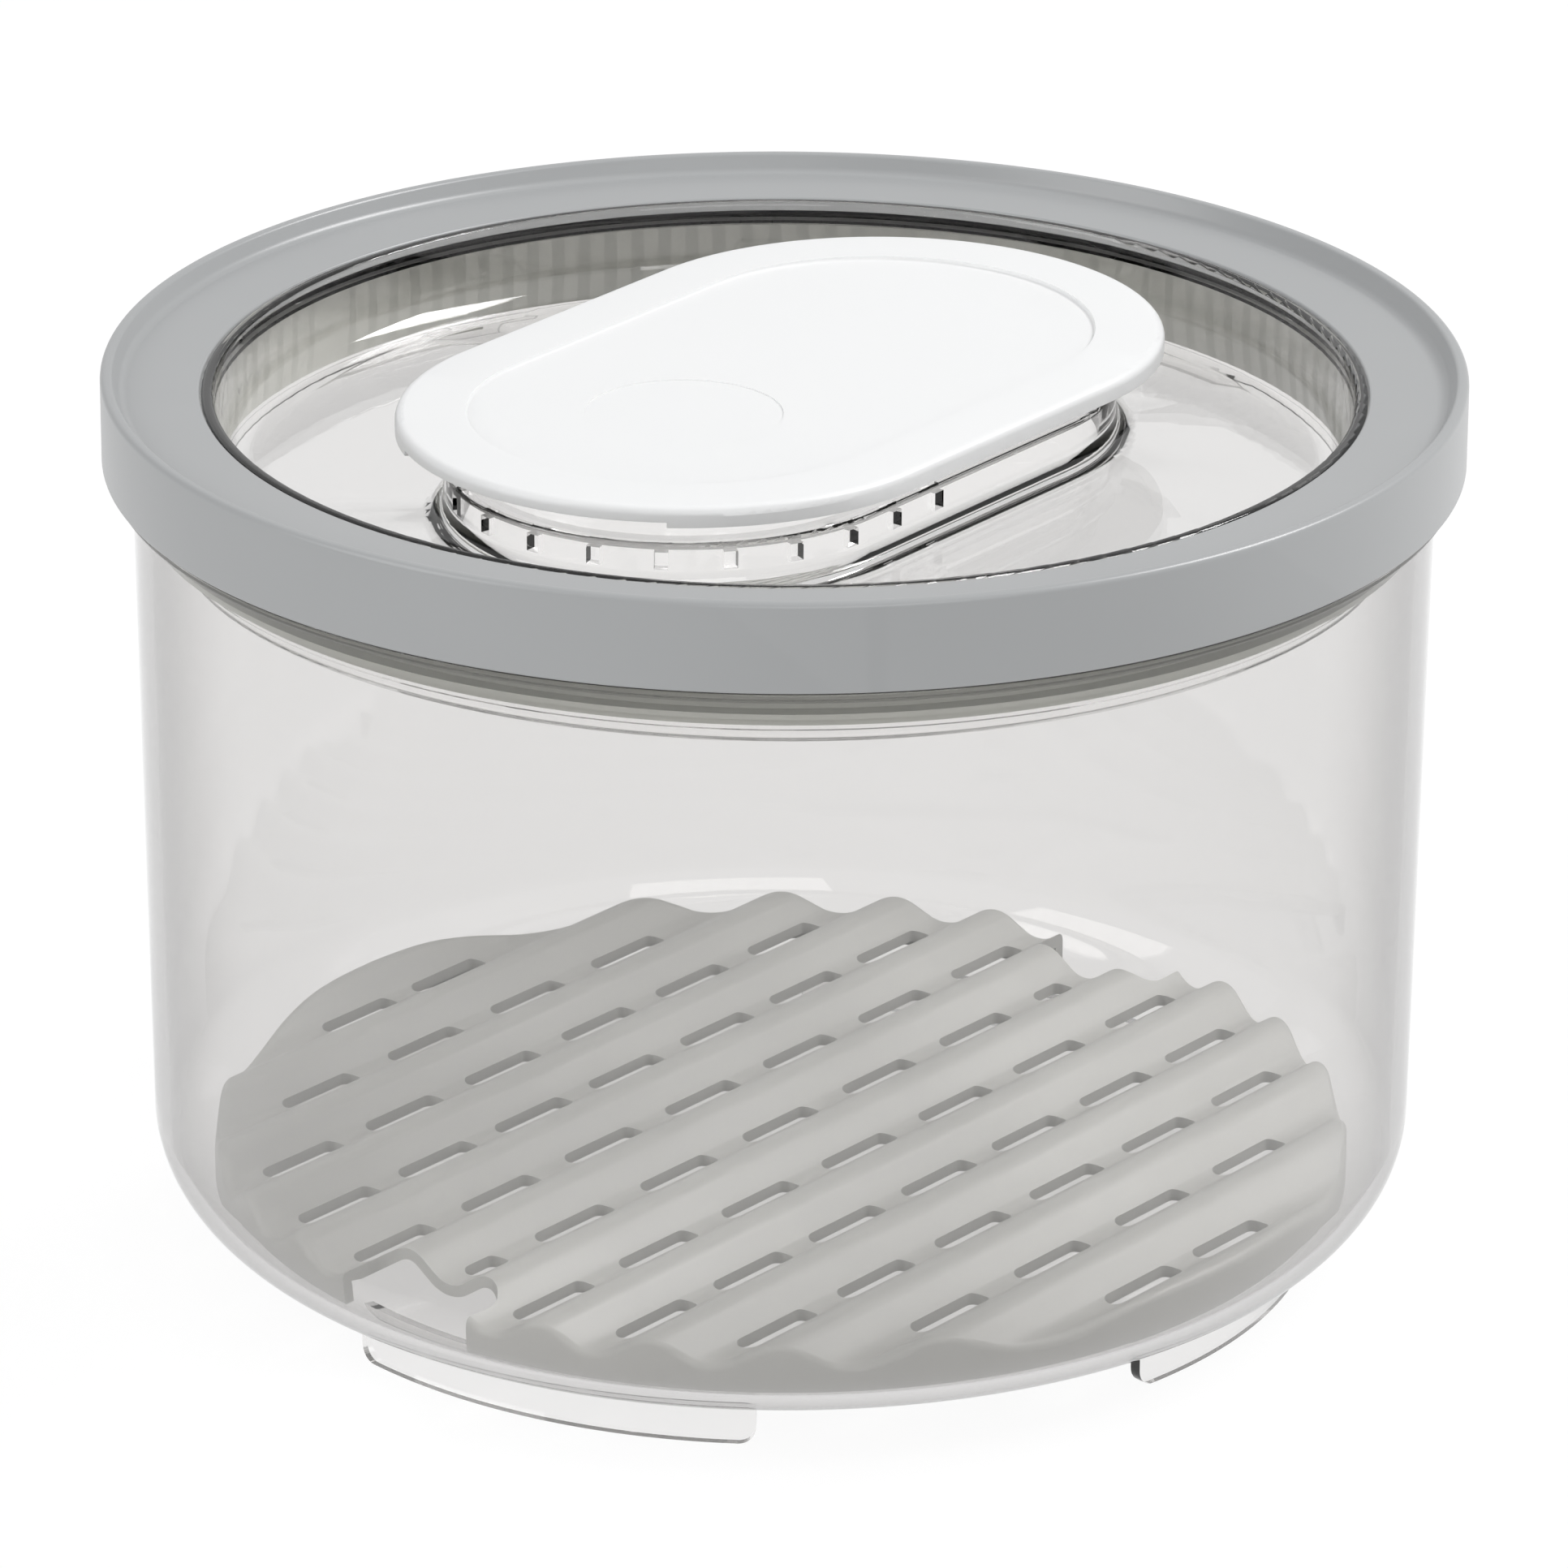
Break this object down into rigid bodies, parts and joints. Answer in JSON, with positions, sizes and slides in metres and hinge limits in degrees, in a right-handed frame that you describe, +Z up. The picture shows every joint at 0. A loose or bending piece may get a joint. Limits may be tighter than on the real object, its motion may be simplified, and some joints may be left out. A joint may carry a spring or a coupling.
{
  "type": "round fridge produce bin",
  "caption": "Round clear fridge bin with a loose corrugated draining tray and a press-on lid that has a flip-up vent cap.",
  "frame": {"origin": "centre of the tub, at the underside of its feet", "axes": "+Z up along the tub's axis; -Y towards the finger notch of the vent cap; +X to the right of it"},
  "size_m": [0.228, 0.228, 0.1557],
  "materials": {
    "clear_tub": "clear, polished",
    "clear_lid": "clear, polished",
    "tray_grey": "fine matte",
    "ring_grey": "satin",
    "seal": "soft, translucent",
    "cap_white": "satin",
    "pin": "plain"
  },
  "bodies": {
    "tub": {"bin_body": "clear_tub", "tub_floor": "clear_tub", "foot_1": "clear_tub", "foot_2": "clear_tub", "foot_3": "clear_tub", "foot_4": "clear_tub"},
    "tray": {"strainer_tray": "tray_grey"},
    "lid": {"lid_panel": "clear_lid", "lid_ring": "ring_grey", "lid_seal": "seal", "hinge_pin": "pin"},
    "cap": {"vent_cap": "cap_white"}
  },
  "joints": [
    {"name": "lid_lift", "type": "slide", "parent": "tub", "child": "lid", "axis": [0, 0, 1], "range_m": [0, 0.08]},
    {"name": "tray_lift", "type": "slide", "parent": "tub", "child": "tray", "axis": [0, 0, 1], "range_m": [0, 0.1]},
    {"name": "vent_flip", "type": "hinge", "parent": "lid", "child": "cap", "pos_m": [0, 0.0655, 0.1494], "axis": [-1, 0, 0], "range_deg": [0, 90]}
  ]
}
